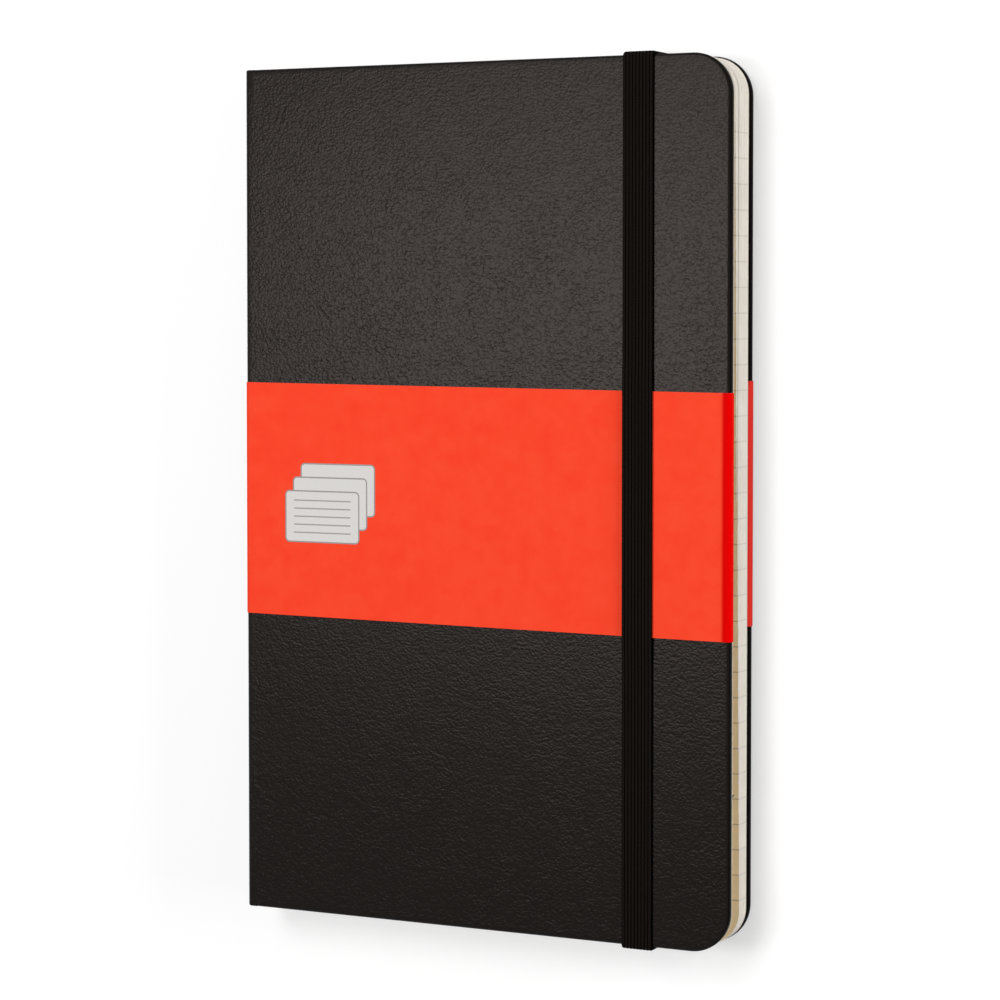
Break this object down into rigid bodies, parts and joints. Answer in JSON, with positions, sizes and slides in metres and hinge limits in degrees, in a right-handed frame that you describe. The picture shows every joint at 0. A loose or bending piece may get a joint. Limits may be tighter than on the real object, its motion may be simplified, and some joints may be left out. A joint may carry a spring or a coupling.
{
  "type": "address book",
  "caption": "Hard-cover address book with stepped alphabetical index leaves, ribbon, inner pocket, elastic strap and a paper band; the covers open flat.",
  "frame": {"origin": "under the middle of the closed book, on the surface that its back lies on", "axes": "+X from spine to fore edge, +Y from tail to head, +Z from back cover to front cover"},
  "size_m": [0.1304, 0.2118, 0.0162],
  "materials": {
    "leatherette": "fine-grained satin",
    "greyboard": "matt",
    "endpaper": "matt",
    "lining": "matt",
    "page": "matt",
    "thread": "matt",
    "ribbon": "satin weave",
    "pocket_card": "matt",
    "gusset_cloth": "matt weave",
    "elastic": "ribbed",
    "band_paper": "uncoated matt"
  },
  "bodies": {
    "back_cover": {"back_board": "greyboard", "back_leatherette": "leatherette", "back_pastedown": "endpaper", "back_flyleaf": "endpaper", "back_leaves": "page", "sewing_thread": "thread", "pocket_panel": "pocket_card", "pocket_gusset_head": "gusset_cloth", "pocket_gusset_tail": "gusset_cloth", "strap_ends": "elastic", "band_back": "band_paper"},
    "spine": {"spine_board": "greyboard", "spine_leatherette": "leatherette", "spine_lining": "lining", "front_hinge": "leatherette", "back_hinge": "leatherette", "band_spine": "band_paper"},
    "front_cover": {"front_board": "greyboard", "front_leatherette": "leatherette", "front_pastedown": "endpaper", "band_front": "band_paper"},
    "front_flyleaf": {"front_flyleaf": "endpaper"},
    "leaves_a": {"section_a": "page"},
    "leaves_b": {"section_b": "page"},
    "leaves_c": {"section_c": "page"},
    "leaves_d": {"section_d": "page"},
    "leaves_e": {"section_e": "page"},
    "leaves_f": {"section_f": "page"},
    "leaves_g": {"section_g": "page"},
    "leaves_h": {"section_h": "page"},
    "leaves_i": {"section_i": "page"},
    "leaves_j": {"section_j": "page"},
    "leaves_k": {"section_k": "page"},
    "leaves_l": {"section_l": "page"},
    "leaves_m": {"section_m": "page"},
    "leaves_n": {"section_n": "page", "bookmark_ribbon": "ribbon"},
    "leaves_o": {"section_o": "page"},
    "leaves_p": {"section_p": "page"},
    "leaves_q": {"section_q": "page"},
    "leaves_r": {"section_r": "page"},
    "leaves_s": {"section_s": "page"},
    "leaves_t": {"section_t": "page"},
    "leaves_u": {"section_u": "page"},
    "leaves_v": {"section_v": "page"},
    "leaves_w": {"section_w": "page"},
    "leaves_x": {"section_x": "page"},
    "leaves_y": {"section_y": "page"},
    "leaves_z": {"section_z": "page"},
    "strap": {"strap_strand": "elastic", "strap_head_wrap": "elastic", "strap_tail_wrap": "elastic"}
  },
  "joints": [
    {"name": "front_cover_hinge", "type": "hinge", "parent": "spine", "child": "front_cover", "pos_m": [-0.06375, 0, 0.01394], "axis": [0, -1, 0], "range_deg": [0, 90], "deforming": ["front_hinge", "band_spine"]},
    {"name": "spine_hinge", "type": "hinge", "parent": "back_cover", "child": "spine", "pos_m": [-0.06375, 0, 0.00145], "axis": [0, -1, 0], "range_deg": [0, 90], "deforming": ["back_hinge"]},
    {"name": "turn_front_flyleaf", "type": "hinge", "parent": "back_cover", "child": "front_flyleaf", "pos_m": [-0.06236, 0, 0.01028], "axis": [0, -1, 0], "range_deg": [0, 182]},
    {"name": "turn_a", "type": "hinge", "parent": "back_cover", "child": "leaves_a", "pos_m": [-0.06236, 0, 0.01028], "axis": [0, -1, 0], "range_deg": [0, 181.85]},
    {"name": "turn_b", "type": "hinge", "parent": "back_cover", "child": "leaves_b", "pos_m": [-0.06236, 0, 0.01028], "axis": [0, -1, 0], "range_deg": [0, 181.75]},
    {"name": "turn_c", "type": "hinge", "parent": "back_cover", "child": "leaves_c", "pos_m": [-0.06236, 0, 0.01028], "axis": [0, -1, 0], "range_deg": [0, 181.65]},
    {"name": "turn_d", "type": "hinge", "parent": "back_cover", "child": "leaves_d", "pos_m": [-0.06236, 0, 0.01028], "axis": [0, -1, 0], "range_deg": [0, 181.55]},
    {"name": "turn_e", "type": "hinge", "parent": "back_cover", "child": "leaves_e", "pos_m": [-0.06236, 0, 0.01028], "axis": [0, -1, 0], "range_deg": [0, 181.45]},
    {"name": "turn_f", "type": "hinge", "parent": "back_cover", "child": "leaves_f", "pos_m": [-0.06236, 0, 0.01028], "axis": [0, -1, 0], "range_deg": [0, 181.35]},
    {"name": "turn_g", "type": "hinge", "parent": "back_cover", "child": "leaves_g", "pos_m": [-0.06236, 0, 0.01028], "axis": [0, -1, 0], "range_deg": [0, 181.25]},
    {"name": "turn_h", "type": "hinge", "parent": "back_cover", "child": "leaves_h", "pos_m": [-0.06236, 0, 0.01028], "axis": [0, -1, 0], "range_deg": [0, 181.15]},
    {"name": "turn_i", "type": "hinge", "parent": "back_cover", "child": "leaves_i", "pos_m": [-0.06236, 0, 0.01028], "axis": [0, -1, 0], "range_deg": [0, 181.05]},
    {"name": "turn_j", "type": "hinge", "parent": "back_cover", "child": "leaves_j", "pos_m": [-0.06236, 0, 0.01028], "axis": [0, -1, 0], "range_deg": [0, 180.95]},
    {"name": "turn_k", "type": "hinge", "parent": "back_cover", "child": "leaves_k", "pos_m": [-0.06236, 0, 0.01028], "axis": [0, -1, 0], "range_deg": [0, 180.85]},
    {"name": "turn_l", "type": "hinge", "parent": "back_cover", "child": "leaves_l", "pos_m": [-0.06236, 0, 0.01028], "axis": [0, -1, 0], "range_deg": [0, 180.75]},
    {"name": "turn_m", "type": "hinge", "parent": "back_cover", "child": "leaves_m", "pos_m": [-0.06236, 0, 0.01028], "axis": [0, -1, 0], "range_deg": [0, 180.65]},
    {"name": "turn_n", "type": "hinge", "parent": "back_cover", "child": "leaves_n", "pos_m": [-0.06236, 0, 0.01028], "axis": [0, -1, 0], "range_deg": [0, 1.32]},
    {"name": "turn_o", "type": "hinge", "parent": "back_cover", "child": "leaves_o", "pos_m": [-0.06236, 0, 0.01028], "axis": [0, -1, 0], "range_deg": [0, 1.23]},
    {"name": "turn_p", "type": "hinge", "parent": "back_cover", "child": "leaves_p", "pos_m": [-0.06236, 0, 0.01028], "axis": [0, -1, 0], "range_deg": [0, 1.14]},
    {"name": "turn_q", "type": "hinge", "parent": "back_cover", "child": "leaves_q", "pos_m": [-0.06236, 0, 0.01028], "axis": [0, -1, 0], "range_deg": [0, 1.05]},
    {"name": "turn_r", "type": "hinge", "parent": "back_cover", "child": "leaves_r", "pos_m": [-0.06236, 0, 0.01028], "axis": [0, -1, 0], "range_deg": [0, 0.96]},
    {"name": "turn_s", "type": "hinge", "parent": "back_cover", "child": "leaves_s", "pos_m": [-0.06236, 0, 0.01028], "axis": [0, -1, 0], "range_deg": [0, 0.87]},
    {"name": "turn_t", "type": "hinge", "parent": "back_cover", "child": "leaves_t", "pos_m": [-0.06236, 0, 0.01028], "axis": [0, -1, 0], "range_deg": [0, 0.78]},
    {"name": "turn_u", "type": "hinge", "parent": "back_cover", "child": "leaves_u", "pos_m": [-0.06236, 0, 0.01028], "axis": [0, -1, 0], "range_deg": [0, 0.69]},
    {"name": "turn_v", "type": "hinge", "parent": "back_cover", "child": "leaves_v", "pos_m": [-0.06236, 0, 0.01028], "axis": [0, -1, 0], "range_deg": [0, 0.6]},
    {"name": "turn_w", "type": "hinge", "parent": "back_cover", "child": "leaves_w", "pos_m": [-0.06236, 0, 0.01028], "axis": [0, -1, 0], "range_deg": [0, 0.51]},
    {"name": "turn_x", "type": "hinge", "parent": "back_cover", "child": "leaves_x", "pos_m": [-0.06236, 0, 0.01028], "axis": [0, -1, 0], "range_deg": [0, 0.42]},
    {"name": "turn_y", "type": "hinge", "parent": "back_cover", "child": "leaves_y", "pos_m": [-0.06236, 0, 0.01028], "axis": [0, -1, 0], "range_deg": [0, 0.33]},
    {"name": "turn_z", "type": "hinge", "parent": "back_cover", "child": "leaves_z", "pos_m": [-0.06236, 0, 0.01028], "axis": [0, -1, 0], "range_deg": [0, 0.24]},
    {"name": "strap_slip", "type": "slide", "parent": "back_cover", "child": "strap", "axis": [1, 0, 0], "range_m": [0, 0.03], "stiffness_N_per_m": 40, "deforming": ["strap_strand", "strap_head_wrap", "strap_tail_wrap"]}
  ],
  "couplings": [
    {"joint": "spine_hinge", "follows": "front_cover_hinge", "ratio": 1},
    {"joint": "turn_front_flyleaf", "follows": "front_cover_hinge", "ratio": 2.0222},
    {"joint": "turn_a", "follows": "front_cover_hinge", "ratio": 2.0206},
    {"joint": "turn_b", "follows": "front_cover_hinge", "ratio": 2.0194},
    {"joint": "turn_c", "follows": "front_cover_hinge", "ratio": 2.0183},
    {"joint": "turn_d", "follows": "front_cover_hinge", "ratio": 2.0172},
    {"joint": "turn_e", "follows": "front_cover_hinge", "ratio": 2.0161},
    {"joint": "turn_f", "follows": "front_cover_hinge", "ratio": 2.015},
    {"joint": "turn_g", "follows": "front_cover_hinge", "ratio": 2.0139},
    {"joint": "turn_h", "follows": "front_cover_hinge", "ratio": 2.0128},
    {"joint": "turn_i", "follows": "front_cover_hinge", "ratio": 2.0117},
    {"joint": "turn_j", "follows": "front_cover_hinge", "ratio": 2.0106},
    {"joint": "turn_k", "follows": "front_cover_hinge", "ratio": 2.0094},
    {"joint": "turn_l", "follows": "front_cover_hinge", "ratio": 2.0083},
    {"joint": "turn_m", "follows": "front_cover_hinge", "ratio": 2.0072},
    {"joint": "turn_n", "follows": "front_cover_hinge", "ratio": 0.014666},
    {"joint": "turn_o", "follows": "front_cover_hinge", "ratio": 0.013666},
    {"joint": "turn_p", "follows": "front_cover_hinge", "ratio": 0.012666},
    {"joint": "turn_q", "follows": "front_cover_hinge", "ratio": 0.011666},
    {"joint": "turn_r", "follows": "front_cover_hinge", "ratio": 0.010666},
    {"joint": "turn_s", "follows": "front_cover_hinge", "ratio": 0.009666},
    {"joint": "turn_t", "follows": "front_cover_hinge", "ratio": 0.008666},
    {"joint": "turn_u", "follows": "front_cover_hinge", "ratio": 0.007666},
    {"joint": "turn_v", "follows": "front_cover_hinge", "ratio": 0.006666},
    {"joint": "turn_w", "follows": "front_cover_hinge", "ratio": 0.005666},
    {"joint": "turn_x", "follows": "front_cover_hinge", "ratio": 0.004666},
    {"joint": "turn_y", "follows": "front_cover_hinge", "ratio": 0.003666},
    {"joint": "turn_z", "follows": "front_cover_hinge", "ratio": 0.002666}
  ]
}
